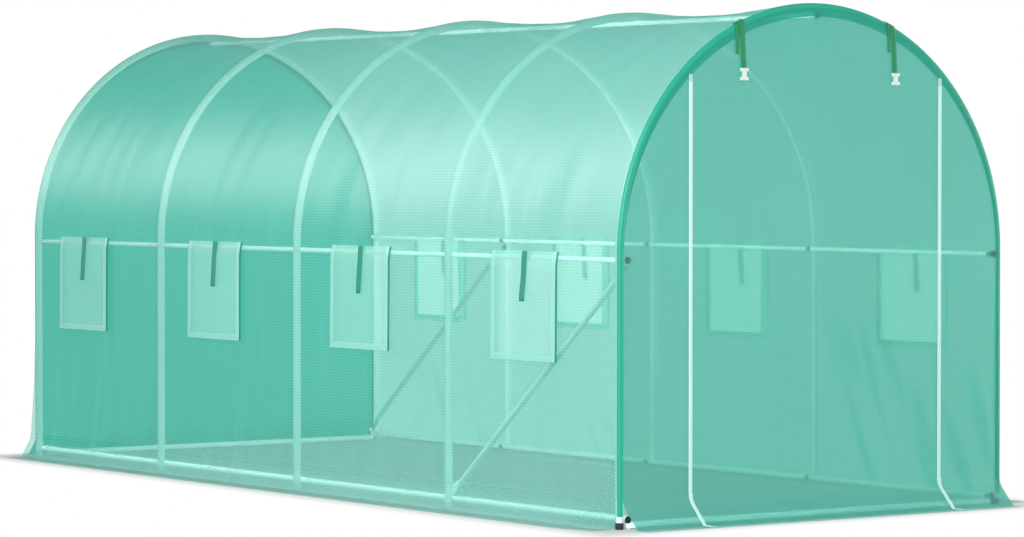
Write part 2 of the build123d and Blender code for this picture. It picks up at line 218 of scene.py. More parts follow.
floor_finish, tree = new_finish("pale floor")
spot = add_node(tree, "SeparateXYZ", Vector=add_node(tree, "TexCoord").outputs["Object"])
beside = calculate(tree, "SUBTRACT", calculate(tree, "ABSOLUTE", spot.outputs["X"]), half_width)
beyond = calculate(tree, "SUBTRACT", calculate(tree, "ABSOLUTE", spot.outputs["Y"]), half_length)
away = add_node(
    tree,
    "MapRange",
    {"interpolation_type": "SMOOTHSTEP"},
    Value=calculate(tree, "MAXIMUM", beside, beyond),
    From_Min=fade_start,
    From_Max=fade_end,
    To_Min=inner_share,
    To_Max=1.0,
)
matt = add_node(tree, "BsdfDiffuse", Color=(0.92, 0.84, 0.86, 1.0))
bright = add_node(tree, "Emission", Color=white, Strength=1.0)
own_share = calculate(tree, "MULTIPLY", seen_directly(tree), away.outputs[0])
show(tree, blend(tree, own_share, matt, bright).outputs[0])
floor.data.materials.append(floor_finish)
print(f"floor: white from {fade_end} m outside the tunnel")

# %% [markdown]
# A soft key stands off the left front corner and a fill off the right wall. Two more lamps only show
# as a sheen: they stand where the shoulder of the roof mirrors them to the camera. Left to light the
# cloth as well, they would wash out the rear half of the wall beside them.


# %% Lamps
def soft_lamp(name, place, aim, size, watts):
    """A square area lamp that points at a place on the tunnel."""
    light = bpy.data.lights.new(name, "AREA")
    light.size = size
    light.energy = watts
    lamp = bpy.data.objects.new(name, light)
    lamp.location = place
    lamp.rotation_mode = "QUATERNION"
    lamp.rotation_quaternion = (Vector(aim) - Vector(place)).to_track_quat("-Z", "Y")
    scene.collection.objects.link(lamp)
    return lamp


def hide_lamp(lamp, *kinds):
    """Hide a lamp from some kinds of rays."""
    for kind in kinds:
        setattr(lamp, f"visible_{kind}", False)


soft_lamp("key lamp", (-7.5, -7.5, 4.5), (0, 0, 1.0), 6.0, 575.0)
soft_lamp("fill lamp", (9.5, -2.5, 1.6), (0, 0, 1.0), 5.0, 630.0)
sheen_lamps = [
    soft_lamp("front sheen", (-4.9, 5.5, 4.8), (-0.95, -1.7, 1.4), 4.4, 280.0),
    soft_lamp("rear sheen", (-4.9, 9.3, 4.8), (-0.95, 1.7, 1.4), 3.6, 215.0),
]
for lamp in sheen_lamps:
    hide_lamp(lamp, "camera", "diffuse", "transmission")
print("lamps", [light.name for light in bpy.data.lights])

# %% [markdown]
# Light that has come through the film is dim and green, so the pale tubes would look darker than
# the bright sheet behind them. Five more lamps make up for it. Each is linked to some of the tubes
# alone: a strip inside the tunnel lights the far half of the hoops, two lamps outside light the
# rails and, less, the near half of the hoops, one lights the upper edges of the near brace and base
# rail, and a strong one brings the ridge rail out under the roof, where the film is seen edge on.
# Light linking also keeps the film from blocking them.


# %% Lamps for the tubes
def tube_group(name, labels):
    """A collection of some of the tubes, for lamps that light nothing else."""
    group = bpy.data.collections.new(name)
    for label in labels:
        group.objects.link(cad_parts[label])
    return group


hoop_labels = [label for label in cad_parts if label.startswith("hoop_")]
base_labels = [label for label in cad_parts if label.endswith("_base_rail")]
hoops = tube_group("hoops", [*hoop_labels, *base_labels, "right_side_rail"])
rails = tube_group("rails", ["left_side_rail", "right_side_rail", "front_base_rail"])
brace = tube_group("brace", ["left_front_brace", "left_base_rail"])
ridge = tube_group("ridge", ["ridge_rail"])
tube_lamps = (
    (soft_lamp("strip lamp", (-0.85, 0, 1.0), (1.0, 0, 1.1), 4.4, 26.0), hoops),
    (soft_lamp("rail lamp", (-6.0, -6.0, 2.5), (0, 0, 0.9), 3.0, 540.0), rails),
    (soft_lamp("hoop lamp", (-6.0, -6.0, 2.5), (0, 0, 0.9), 3.0, 56.0), hoops),
    (soft_lamp("brace lamp", (-4.0, 3.0, 5.0), (-0.9, -1.2, 0.4), 1.5, 270.0), brace),
    (soft_lamp("ridge lamp", (-6.0, -6.0, 2.5), (0, 0, 2.0), 3.0, 1800.0), ridge),
)
strip = tube_lamps[0][0].data
strip.shape = "RECTANGLE"
strip.size_y = 1.0
for lamp, lit in tube_lamps:
    lamp.light_linking.receiver_collection = lit
    lamp.light_linking.blocker_collection = lit
    hide_lamp(lamp, "camera", "glossy", "transmission")

# %% [markdown]
# ## Finishes of the sheets
#
# The cover is woven film: a clear green sheet with a grid of threads cast into it. It could be
# glass, but glass bends the view and is slow. A mix of a tinted Transparent shader and a green
# body, which partly reflects light and partly lets it through, looks like film and renders fast.
# The threads are read from the sheet's own flat pattern, kept as a UV map in metres, so they follow
# the cloth round the arch. The leaning side skirts have the walls' film with less gloss, because
# they would mirror the sheen lamps as a pale band.


# %% The woven grid
def thread_mask(tree, pitch, width):
    """1 on the threads of the woven grid and 0 between them."""
    pattern = add_node(tree, "UVMap", {"uv_map": "pattern"})
    axes = add_node(tree, "SeparateXYZ", Vector=pattern.outputs[0])
    masks = []
    for axis in ("X", "Y"):
        turns = calculate(tree, "DIVIDE", axes.outputs[axis], pitch)
        beside = calculate(tree, "PINGPONG", turns, 0.5)
        masks.append(calculate(tree, "LESS_THAN", beside, width / pitch / 2))
    return calculate(tree, "MAXIMUM", masks[0], masks[1])


def glancing(tree, power):
    """0 where a sheet is seen face on and 1 where it is seen edge on, as glass is."""
    facing = add_node(tree, "LayerWeight", Blend=0.5).outputs["Facing"]
    return calculate(tree, "POWER", facing, power)


thread_gain, gap_gain, crease_shade_gain = 0.16, 1.05, 0.5
body_power, mirror_power, mirror_gain = 3.0, 5.0, 1.3


def film(name, green, tint, clear, pitch=0.012, thread=0.003, gloss=0.045, inside=0.5):
    """Woven film: the body's colour, the clear part's tint and share, and the share lit from behind."""
    finish, tree = new_finish(name)
    threads = thread_mask(tree, pitch, thread)
    place = add_node(tree, "TexCoord").outputs["Object"]
    cloud = add_node(tree, "TexNoise", Vector=place, Scale=1.7, Detail=3.0)
    shade = add_node(tree, "MapRange", Value=cloud.outputs[0], To_Min=0.90, To_Max=1.08)
    colour = mix_colours(tree, "MULTIPLY", 1.0, (*green, 1.0), shade.outputs[0])
    weave = add_node(tree, "Bump", Strength=0.12, Distance=0.0005, Height=threads).outputs[0]
    body = add_node(tree, "BsdfDiffuse", Color=colour, Normal=weave)
    glow = add_node(tree, "BsdfTranslucent", Color=colour)
    cloth = blend(tree, inside, body, glow)
    through = add_node(tree, "BsdfTransparent", Color=(*tint, 1.0))
    solid = calculate(tree, "MULTIPLY_ADD", threads, thread_gain * clear, 1.0 - gap_gain * clear)
    # The crease value from the cover makes the film more solid in the valleys of the wall folds:
    # painted shade in the creases.
    crease_shade = add_node(tree, "Attribute", {"attribute_name": "crease_shade"}).outputs["Fac"]
    solid = calculate(tree, "MULTIPLY_ADD", crease_shade, crease_shade_gain, solid)
    clear_part = calculate(tree, "SUBTRACT", 1.0, solid)
    hidden = calculate(tree, "MULTIPLY", clear_part, glancing(tree, body_power))
    sheet = blend(tree, calculate(tree, "ADD", solid, hidden), through, cloth)
    sheen = add_node(tree, "BsdfGlossy", Roughness=0.38, Normal=weave)
    edge_on = glancing(tree, mirror_power)
    mirrored = calculate(tree, "MULTIPLY_ADD", edge_on, mirror_gain * gloss, gloss)
    show(tree, blend(tree, mirrored, sheet, sheen).outputs[0])
    return finish


side_green, side_tint, side_clear = (0.235, 0.72, 0.64), (0.66, 0.92, 0.86), 0.70
side_film = film("side film", side_green, side_tint, side_clear, inside=0.45)
slope_film = film("slope film", side_green, side_tint, side_clear, gloss=0.014, inside=0.45)
# The end films are darker, less clear copies of the wall film: painted shade on the end panels, deepest
# on the rear one.
front_shade_film = film("front shade film", (0.13, 0.57, 0.48), (0.42, 0.80, 0.72), 0.40)
rear_shade_film = film("rear shade film", (0.015, 0.56, 0.44), (0.10, 0.80, 0.70), 0.15)
sleeve_film = film("sleeve film", (0.014, 0.55, 0.40), (0.3, 0.85, 0.76), 0.10)
skirt_film = film("skirt film", (0.42, 0.72, 0.65), (0.86, 0.98, 0.95), 0.62)
flap_film = film("flap film", (0.47, 0.95, 0.84), (0.92, 1.0, 0.99), 0.46, inside=0.4)
hem_film = film("hem film", (0.50, 1.0, 0.91), (0.95, 1.0, 1.0), 0.20, inside=0.2)
# The right flaps get this paler, more translucent copy of the flap film: painted light, so that they
# glow evenly.
glow_flap_film = film("glow flap film", (0.70, 0.90, 0.84), (0.9, 1.0, 0.98), 0.13, inside=0.9)
# The fold film is dark, painted shade: on the left flaps it makes the turned edge of the hem look
# shaded.
fold_shade_film = film("fold shade film", (0.10, 0.34, 0.28), (0.5, 0.8, 0.74), 0.15)
mesh_film = film("insect mesh", (0.62, 0.92, 0.84), (0.93, 1.0, 0.98), 0.82, 0.002, 0.0006)
print("sheet finishes", len(bpy.data.materials))

# %% [markdown]
# ## Finishes of the tubes, plastics and webbing
#
# The tubes are steel with a pale powder coat: nearly white, a little uneven and half glossy. The
# caps are dark moulded plastic with a fine grain. Webbing is a tight weave, so it is matt and rough.


# %% Coated tube and moulded plastic
def coated(name, colour, spread, scale, roughness, grain):
    """A moulded or coated surface whose colour and roughness vary a little."""
    finish, tree = new_finish(name)
    place = add_node(tree, "TexCoord").outputs["Object"]
    cloud = add_node(tree, "TexNoise", Vector=place, Scale=scale, Detail=4.0)
    tone = add_node(tree, "ValToRGB", Fac=cloud.outputs[0])
    tone.color_ramp.elements[0].color = (*[value * (1 - spread) for value in colour], 1.0)
    tone.color_ramp.elements[1].color = (*[min(1.0, value * (1 + spread)) for value in colour], 1.0)
    gloss = add_node(
        tree, "MapRange", Value=cloud.outputs[0], To_Min=roughness - 0.06, To_Max=roughness + 0.08
    )
    speckle = add_node(tree, "TexNoise", Vector=place, Scale=900.0, Detail=2.0)
    bump = add_node(tree, "Bump", Strength=grain, Distance=0.0003, Height=speckle.outputs[0])
    body = add_node(
        tree,
        "BsdfPrincipled",
        Base_Color=tone.outputs[0],
        Roughness=gloss.outputs[0],
        Normal=bump.outputs[0],
    )
    show(tree, body.outputs[0])
    return finish


dark_green = (0.012, 0.03, 0.025)
tube_coat = coated("tube coat", (0.93, 0.98, 0.96), 0.03, 14.0, 0.34, 0.10)
dark_plastic = coated("dark plastic", dark_green, 0.25, 60.0, 0.45, 0.35)
zinc = coated("zinc", (0.42, 0.50, 0.48), 0.1, 80.0, 0.4, 0.2)
zip_white = coated("zip white", (0.70, 0.99, 0.94), 0.04, 40.0, 0.5, 0.25)
buckle_white = coated("buckle white", (0.80, 0.92, 0.89), 0.03, 50.0, 0.32, 0.10)
webbing = coated("webbing", (0.010, 0.27, 0.11), 0.2, 120.0, 0.7, 0.6)
tie_webbing = coated("tie webbing", (0.015, 0.34, 0.23), 0.15, 120.0, 0.75, 0.6)
mint_tape = coated("mint tape", (0.45, 0.80, 0.72), 0.06, 60.0, 0.6, 0.4)

for label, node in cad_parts.items():
    node.data.materials.clear()
    node.data.materials.append(dark_plastic if label == "rail_end_caps" else tube_coat)
print("all finishes so far", len(bpy.data.materials))

# %% [markdown]
# The feet that plug the legs are pale like the tubes, apart from the two at the door end, which
# stand clear of the cover and are dark. One finish does both: it picks its colour by the place along
# the tunnel.

# %% Feet
foot_finish, tree = new_finish("feet")
foot_pale = (0.80, 0.88, 0.85)
place = add_node(tree, "TexCoord").outputs["Object"]
spot = add_node(tree, "SeparateXYZ", Vector=place)
at_door = calculate(tree, "LESS_THAN", spot.outputs["Y"], hoop_places[0] + bay / 2)
tone = mix_colours(tree, "MIX", at_door, (*foot_pale, 1.0), (*dark_green, 1.0))
grain = add_node(tree, "TexNoise", Vector=place, Scale=700.0)
bump = add_node(tree, "Bump", Strength=0.3, Distance=0.0003, Height=grain.outputs[0])
foot_body = add_node(tree, "BsdfPrincipled", Base_Color=tone, Normal=bump.outputs[0], Roughness=0.5)
show(tree, foot_body.outputs[0])
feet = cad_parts["leg_feet"]
feet.data.materials.clear()
feet.data.materials.append(foot_finish)
print("finishes", len(bpy.data.materials))

# %% [markdown]
# ## Cutting and bending sheets
#
# Real covers are cut flat and sewn. The sheets here start the same way, as flat grids from an
# operator, whose flat places are saved as the UV map before anything is bent. Cloth simulation
# could sag them, but the cover is stretched tight, so a formula for the sag between two hoops and
# a little noise for creases gives a steadier result.


# %% Helpers for sheets
def flat_cut(columns, rows, width, length):
    """A flat grid round the origin."""
    cut = bmesh.new()
    bmesh.ops.create_grid(cut, x_segments=columns, y_segments=rows, size=0.5)
    bmesh.ops.scale(cut, verts=cut.verts, vec=(width, length, 1.0))
    return cut


def keep_pattern(cut):
    """Save each corner's flat place, in metres, as the sheet's pattern."""
    pattern = cut.loops.layers.uv.new("pattern")
    for face in cut.faces:
        for loop in face.loops:
            loop[pattern].uv = loop.vert.co.xy


def flat_area(cut):
    """Area of the sheet in square metres."""
    return sum(face.calc_area() for face in cut.faces)


def wave(first, second, third):
    """Smooth noise from about -1 to 1; far apart values of one of the three give unlike patterns."""
    return noise.noise(Vector((first, second, third)))


def finish_piece(shape, name, finishes, slot, *stood_for, sharp=None):
    """Make a piece from a bmesh: smooth below a sharp angle, at the origin, riding on the part."""
    mesh = bpy.data.meshes.new(name)
    shape.to_mesh(mesh)
    shape.free()
    mesh.shade_smooth()
    if sharp:
        mesh.set_sharp_from_angle(angle=radians(sharp))
    for finish in finishes:
        mesh.materials.append(finish)
    piece = bpy.data.objects.new(name, mesh)
    scene.collection.objects.link(piece)
    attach(piece, "root")
    if stood_for:
        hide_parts(*stood_for)
    print(f"{name}: {len(mesh.polygons)} faces")
    return piece


def thicken(piece, thickness):
    """Give a ribbon its thickness, half to each side."""
    shell = piece.modifiers.new("thickness", "SOLIDIFY")
    shell.thickness = thickness
    shell.offset = 0.0


# %% [markdown]
# ## The long cover
#
# One sheet makes both skirts, both walls and the roof. Its profile runs along the ground, up the
# leaning skirt, up the wall and over the half circle, then down the other side. The distance along
# that profile is the first direction of the flat pattern and the length of the tunnel the second.
# Where a skirt leaves its wall the bend is rounded, because the sheet does not crease there.

# %% Profile of the cover
side_flare, end_flare = 0.055, 0.096
ground_rise = 0.0015
fold_reach = 0.03
arch_run = pi / 2 * cover_radius
wall_run = arch_run + spring - skirt_top


def skirt_length(flare):
    """Length of a skirt's flat pattern, from the foot of the wall to its edge."""
    return hypot(flare, skirt_top - ground_rise) + skirt_width - flare


def skirt_point(run, flare):
    """Distance out and height of a skirt, a run below the wall, and which way its face looks."""
    slope = hypot(flare, skirt_top - ground_rise)
    if run > slope:
        return flare + run - slope, ground_rise, 0.0, 1.0
    down, out = (skirt_top - ground_rise) / slope, flare / slope
    if run > fold_reach:
        return run * out, skirt_top - run * down, down, out
    bend = max(0.0, run + fold_reach) ** 2 / (4.0 * fold_reach)
    return bend * out, skirt_top - run + bend * (1.0 - down), down, out


def profile_point(run):
    """Distance out and height of the cover, a run from the crown, and which way its face looks."""
    if run < arch_run:
        angle = run / cover_radius
        return cover_radius * sin(angle), spring + cover_radius * cos(angle), sin(angle), cos(angle)
    if run < wall_run - fold_reach:
        return cover_radius, spring - (run - arch_run), 1.0, 0.0
    out, height, face_out, face_up = skirt_point(run - wall_run, side_flare)
    return cover_radius + out, height, face_out, face_up


edge_run = wall_run + skirt_length(side_flare)
print(f"half the profile is {edge_run:.3f} m long")

# %% [markdown]
# The sheet dips between the hoops, most at the crown, where it comes down towards the ridge rail.
# Along the walls it pulls in only slightly. The creases run round the arch, parallel to the hoops,
# because the cover is stretched lengthways: so the noise changes fast along the tunnel and slowly
# round the arch. At every hoop the sheet lies on the tube, so the creases fade out there.

# %% Sag and creases
roof_sag, wall_pull = 0.031, 0.004
crown_fold, shoulder_fold, fine_share = 0.004, 0.010, 0.25
left_fold, right_fold = 0.005, 0.011
front_bay_gain, other_bay_gain = 1.3, 0.55
fold_lean = 0.35


def bay_share(place):
    """0 at a hoop and 1 halfway to the next one."""
    share = (place + half_length) / bay % 1.0
    return 4.0 * share * (1.0 - share)


def roof_fold(run, place):
    """Long folds of the roof, from about -1 to 1."""
    return wave(run * 0.8, place * 7.0 + run * 1.2, 3.7)


def roof_depth(run, place):
    """Sag and creases of the roof: the creases run round the arch."""
    angle = run / cover_radius
    sag = roof_sag * cos(angle) ** 2 + wall_pull * sin(angle) ** 2
    fine_fold = wave(run * 1.6, place * 24.0, 11.2)
    fold = crown_fold + (shoulder_fold - crown_fold) * sin(angle) ** 2
    return bay_share(place) * (sag + fold * roof_fold(run, place) + fine_share * fold * fine_fold)


def wall_drop(run):
    """0 at the top of a wall and 1 at its foot."""
    return max(0.0, min(1.0, (abs(run) - arch_run) / (wall_run - arch_run)))


def wall_fold(run, place):
    """Folds of a wall, from about -1 to 1: upright on the left and slanting on the right."""
    drop = wall_drop(run)
    if run < 0:
        return wave(place * 9.0, drop * 1.3, 6.4)
    slant = place + fold_lean * drop * (wall_run - arch_run)
    gain = front_bay_gain if place < hoop_places[1] else other_bay_gain
    return gain * wave(slant * 15.0, drop * 2.2, 6.4)


def wall_depth(run, place):
    """How far the folds lie inside the wall: deepest on the right and low down."""
    drop = wall_drop(run)
    pull = wall_pull * (1.0 - drop)
    upper = shoulder_fold * roof_fold(arch_run, place) * (1.0 - drop) ** 3
    lower = (right_fold if run > 0 else left_fold) * drop * wall_fold(run, place)
    fine = (0.001 + 0.0015 * drop) * wave(place * 23.0, drop * 3.0, 2.9)
    return bay_share(place) * (pull + upper + lower + fine)


# %% [markdown]
# Low down the walls lean out a little towards the skirt. By the end hoops they are held: they stand
# upright at the door end and at the right rear corner. At the left front corner and the right rear
# one the skirt is drawn in to the leg as well. Tying all four corners would look stiff.

# %% Corners
corner_reach, corner_pull = 0.25, 0.9
foot_lean, lean_start, lean_reach = 0.026, 0.4, 0.55


def corner_share(place, facing):
    """1 at the hoop of one end, the door end if facing is -1, and 0 away from it."""
    return max(0.0, 1.0 - (half_length - facing * place) / corner_reach) ** 2


def corner_tie(run, place):
    """1 at the leg a skirt is tied to: at the door end on the left and the rear on the right."""
    return corner_share(place, -1 if run < 0 else 1)


def sheet_depth(run, place):
    """How far the sheet lies inside its even profile."""
    if abs(run) < arch_run:
        return roof_depth(run, place)
    below = max(0.0, (abs(run) - wall_run) / (edge_run - wall_run))
    lean = foot_lean * min(1.0, max(0.0, (abs(run) - arch_run - lean_start) / lean_reach)) ** 2
    lean *= 1.0 - max(corner_share(place, -1), corner_tie(run, place))
    return wall_depth(run, place) * (1.0 - below) ** 3 - lean


# %% [markdown]
# The windows are cut while the sheet is still flat: a plane slits the grid along each window edge,
# and the faces inside are deleted. A Boolean would do it too, but slits leave clean straight edges.

# %% Places of the windows
window_width, window_height = 0.370, 0.380
window_count = 4
flap_width = 0.446
mesh_margin = 0.015
window_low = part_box("window_meshes")[0].z + mesh_margin
window_rows = {}
for side in ("left", "right"):
    first, last = (corner.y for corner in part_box(f"{side}_window_flaps"))
    pitch = (last - first - flap_width) / (window_count - 1)
    window_rows[side] = [first + flap_width / 2 + pitch * number for number in range(window_count)]

window_runs = (arch_run + spring - window_low - window_height, arch_run + spring - window_low)


def windows():
    """Each window's side, the sign of that side, the window's number and its middle."""
    for side, sign in (("left", -1), ("right", 1)):
        for number, middle in enumerate(window_rows[side], start=1):
            yield side, sign, number, middle


print(f"{len(list(windows()))} windows, {window_low:.3f} m above the ground")


# %% Cut the windows
def slit(cut, place, direction):
    """Slit a flat sheet along a line."""
    geometry = cut.verts[:] + cut.edges[:] + cut.faces[:]
    bmesh.ops.bisect_plane(cut, geom=geometry, dist=1e-5, plane_co=place, plane_no=direction)


def in_window(point):
    """True where a point of the flat pattern falls in one of the windows."""
    if not window_runs[0] < abs(point.x) < window_runs[1]:
        return False
    middles = window_rows["left" if point.x < 0 else "right"]
    return any(abs(point.y - middle) < window_width / 2 for middle in middles)


sleeve_radius = tube / 2 + (cover_radius - half_width)
wrap_turn, wrap_steps = radians(18), 3
wrap_run = wrap_turn * sleeve_radius
cover_columns, cover_rows = 250, 210
cover = flat_cut(cover_columns, cover_rows, 2 * edge_run, 2 * (half_length + wrap_run))
for facing in (-1, 1):
    for step in range(wrap_steps):
        slit(cover, (0, facing * (half_length + wrap_run * step / wrap_steps), 0), (0, 1, 0))
for side, sign in (("left", -1), ("right", 1)):
    for run in window_runs:
        slit(cover, (sign * run, 0, 0), (1, 0, 0))
    for middle in window_rows[side]:
        for edge in (middle - window_width / 2, middle + window_width / 2):
            slit(cover, (0, edge, 0), (0, 1, 0))
ground_run = wall_run + hypot(side_flare, skirt_top - ground_rise)
for face in cover.faces:
    run = abs(face.calc_center_median().x)
    face.material_index = 1 if run > ground_run else 2 if run > wall_run else 0
cut_away = [face for face in cover.faces if in_window(face.calc_center_median())]
bmesh.ops.delete(cover, geom=cut_away, context="FACES")
keep_pattern(cover)
cover_area = flat_area(cover)
print(f"cover cut: {cover_area:.2f} square metres, {len(cut_away)} faces cut away")

# %% Bend the cover
# The crease layer holds painted shade for the film: it is deepest in the valleys of the wall folds, low
# down and most on the right wall.
crease_shade = cover.verts.layers.float.new("crease_shade")
crease_shade_gains = {-1: 1.5, 1: 12.0}
sheet_sharp = 20
for vert in cover.verts:
    run, place = vert.co.x, vert.co.y
    sign = -1 if run < 0 else 1
    out, height, face_out, face_up = profile_point(abs(run))
    inner = max(-half_length, min(half_length, place))
    if abs(run) > wall_run:
        out -= corner_pull * corner_tie(run, inner) * min(side_flare, out - cover_radius)
    crease_shade_depth = max(0.0, wall_fold(run, inner)) ** 3 * crease_shade_gains[sign]
    vert[crease_shade] = min(1.0, crease_shade_depth * bay_share(inner) * wall_drop(run))
    depth = sheet_depth(run, inner)
    turn = max(0.0, abs(place) - half_length) / sleeve_radius
    if turn > 0:
        depth += sleeve_radius * (1.0 - cos(turn))
        place = (half_length + sleeve_radius * sin(turn)) * (1 if place > 0 else -1)
    level = height if abs(run) > wall_run else height - face_up * depth
    vert.co = (sign * (out - face_out * depth), place, level)
bmesh.ops.recalc_face_normals(cover, faces=cover.faces)
cover_piece = finish_piece(
    cover,
    "long_cover_sheet",
    (side_film, skirt_film, slope_film),
    "cover_sheet",
    *[f"roof_cover_bay_{number}" for number in range(1, 5)],
    "left_wall_cover",
    "right_wall_cover",
    "left_skirt",
    "right_skirt",
    sharp=sheet_sharp,
)

# %% [markdown]
# ## The end sheets
#
# Each end is filled by flat sheets under the arch, with a skirt of their own. The grid's columns
# are spread by angle instead of by distance, so their top ends lie evenly on the arch, and every
# column is stretched to reach it. Below, the rows turn outwards as the side skirts do. The corners
# stay open, so the feet of the end hoops stand clear.

# %% Shape of an end sheet
skirt_share = 0.12
skirt_run = skirt_length(end_flare)
fold_top, foot_fade = 1.3, 0.2
end_upright, end_low, end_fine = 0.002, 0.002, 0.001


def end_folds(side, height):
    """Folds of an end sheet: nearly upright, and deepest low down."""
    low = max(0.0, min(1.0, fold_top - height))
    upright = wave(side * 9.0 + height * 2.4, height * 1.1, 5.1)
    fine = wave(side * 26.0 + height * 5.0, height * 3.0, 8.3)
    edge = max(0.0, min(1.0, (height - skirt_top) / foot_fade))
    return edge * ((end_upright + end_low * low) * upright + end_fine * fine)


def end_sheet(columns, rows, left, right, facing):
    """A sheet of an end, between two places across it; facing is -1 at the door end."""
    cut = flat_cut(columns, rows, 1.0, 1.0)
    start, finish = (asin(max(-1.0, min(1.0, edge / sheet_radius))) for edge in (left, right))
    for vert in cut.verts:
        across, up = vert.co.x + 0.5, vert.co.y + 0.5
        side = sheet_radius * sin(start + across * (finish - start))
        if up > skirt_share:
            rise = (up - skirt_share) / (1.0 - skirt_share)
            top = spring + sqrt(max(0.0, sheet_radius**2 - side**2))
            vert.co = (side, skirt_top + rise * (top - skirt_top), 0)
        else:
            vert.co = (side, skirt_top - (1.0 - up / skirt_share) * skirt_run, 0)
    keep_pattern(cut)
    area = flat_area(cut)
    for vert in cut.verts:
        side, height = vert.co.x, vert.co.y
        if height > skirt_top + fold_reach:
            vert.co = (side, facing * (end_place - end_folds(side, height)), height)
        else:
            out, low = skirt_point(skirt_top - height, end_flare)[:2]
            vert.co = (side, facing * (end_place + out), low)
    bmesh.ops.recalc_face_normals(cut, faces=cut.faces)
    for face in cut.faces:
        face.material_index = 1 if face.calc_center_median().z < 2 * ground_rise else 0
    return cut, area


# %% Make the end sheets
zip_place, slit_half = 0.650, 0.001
door_edge, panel_edge = zip_place - slit_half, zip_place + slit_half
end_cuts = {
    "front_left_sheet": (26, 80, -sheet_radius, -panel_edge, -1, front_shade_film, "front_left_panel"),
    "door_sheet": (64, 90, -door_edge, door_edge, -1, front_shade_film, "front_door"),
    "front_right_sheet": (26, 80, panel_edge, sheet_radius, -1, front_shade_film, "front_right_panel"),
    "rear_sheet": (90, 90, -sheet_radius, sheet_radius, 1, rear_shade_film, "rear_panel"),
}
for label, (columns, rows, left, right, facing, finish, node) in end_cuts.items():
    cut, area = end_sheet(columns, rows, left, right, facing)
    skirt_node = "front_skirt" if facing < 0 else "rear_skirt"
    finishes = (finish, skirt_film)
    piece = finish_piece(cut, label, finishes, "cover_sheet", node, skirt_node, sharp=sheet_sharp)

# %% [markdown]
# ## The sleeves round the end hoops
#
# At each end a doubled band joins the long cover to the end sheet. It turns round the front of the
# hoop and is sewn down flat inside it. The tension over the arch pulls the flat edge out wide at the
# crown and lets it slip round the legs. A sweep along a curve would give an even band, so the band
# is bent from a flat cut instead, where the width of the edge can follow the arch.

# %% Sleeves
sleeve_half = pi / 2 * hoop_line + spring - skirt_top / 2
turn_share = 0.6
crown_edge = 0.036
leg_edges = {-1: 0.001, 1: 0.018}
seam_lift, ripple_height = 0.0022, 0.0012


def sleeve_line(run):
    """Place across, height and outward direction of the end hoop's line, a run from its crown."""
    sign = -1 if run < 0 else 1
    angle = min(abs(run) / hoop_line, pi / 2)
    below = max(0.0, abs(run) - pi / 2 * hoop_line)
    return (
        sign * hoop_line * sin(angle),
        spring + hoop_line * cos(angle) - below,
        sign * sin(angle),
        cos(angle),
    )


def arch_sleeve(name, facing, node):
    """The band of doubled sheet round an end hoop."""
    width = (pi / 2 - wrap_turn) * sleeve_radius + crown_edge / 2
    cut = flat_cut(220, 20, 2 * sleeve_half, width)
    keep_pattern(cut)
    for vert in cut.verts:
        run, share = vert.co.x, vert.co.y / width + 0.5
        side, height, face_out, face_up = sleeve_line(run)
        leg_edge = leg_edges[-1 if run < 0 else 1]
        edge = leg_edge + (crown_edge - leg_edge) * face_up
        turn = wrap_turn + (pi / 2 - wrap_turn) * min(1.0, share / turn_share)
        flat = max(0.0, share - turn_share) / (1.0 - turn_share)
        ripple = ripple_height * flat * wave(run * 14.0, flat, 4.2)
        out = sleeve_radius * cos(turn) - edge * flat
        along = half_length + sleeve_radius * sin(turn) + seam_lift * min(1.0, flat * 4.0) + ripple
        vert.co = (side + face_out * out, facing * along, height + face_up * out)
    bmesh.ops.recalc_face_normals(cut, faces=cut.faces)
    piece = finish_piece(cut, name, [sleeve_film], "trim_band", node)


arch_sleeve("front_sleeve", -1, "front_arch_trim")
arch_sleeve("rear_sleeve", 1, "rear_arch_trim")

# %% [markdown]
# ## Window flaps, meshes and ties
#
# A flap is sewn on along its top edge and stands a little clear of the wall. Its sides and foot are
# hemmed: the sheet is folded over, so it is paler there. On the left the turned edge gets a dark
# film, painted shade, and shows as a dark line on the shaded side. The flap and its hem are cut from
# one flat grid, and the hem's rim is extruded towards the wall. The flaps on the right get a paler,
# more translucent copy of the film, painted light, so that they glow: from inside they are pale
# squares with no frame. Behind each flap a fine insect mesh closes the window, and a strap for
# rolling the flap up hangs down its middle. On the right the straps cast no shadow, because it would
# show as a dark bar through the glowing flap.

# %% Flaps
flap_low, flap_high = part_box("left_window_flaps")
flap_height = flap_high.z - flap_low.z
flap_face = -flap_high.x
hem_width, hem_lift, fold_depth = 0.028, 0.0012, 0.009
seam_stand, flap_stand, foot_stand, flap_wave = 0.001, 0.009, 0.004, 0.0025
near_edge = 1e-5
# On the left the turned edge of the hem gets the dark fold film, painted shade. On the right every part
# of a flap gets the pale glowing film, painted light.
flap_films_with_painted_light = {-1: (flap_film, hem_film, fold_shade_film), 1: (glow_flap_film, glow_flap_film, glow_flap_film)}


def flap_clear(up):
    """How far a flap stands off the wall, at a height above its middle."""
    drop = (flap_height / 2 - up) / flap_height
    return seam_stand + flap_stand * min(1.0, drop * 9.0) + foot_stand * drop


def bend_flap(cut, sign, middle, seed, lift):
    """Hang a flat cut outside a window, a lift off the flap's own face."""
    for vert in cut.verts:
        side, up = vert.co.x, vert.co.y
        bulge = flap_wave * wave(side * 7.0, up * 4.0, seed) * (0.5 - up / flap_height)
        clear = flap_clear(up) + bulge + lift
        vert.co = (sign * (flap_face + clear), middle + side, flap_low.z + flap_height / 2 + up)
    bmesh.ops.recalc_face_normals(cut, faces=cut.faces)


def in_hem(spot):
    """True where a point of a flat flap lies in its hem: down the sides and along the foot."""
    return abs(spot.x) > flap_width / 2 - hem_width or spot.y < hem_width - flap_height / 2


def on_rim(spot):
    """True where a point of a flat flap lies on the outer edge of its hem."""
    return abs(spot.x) > flap_width / 2 - near_edge or spot.y < near_edge - flap_height / 2


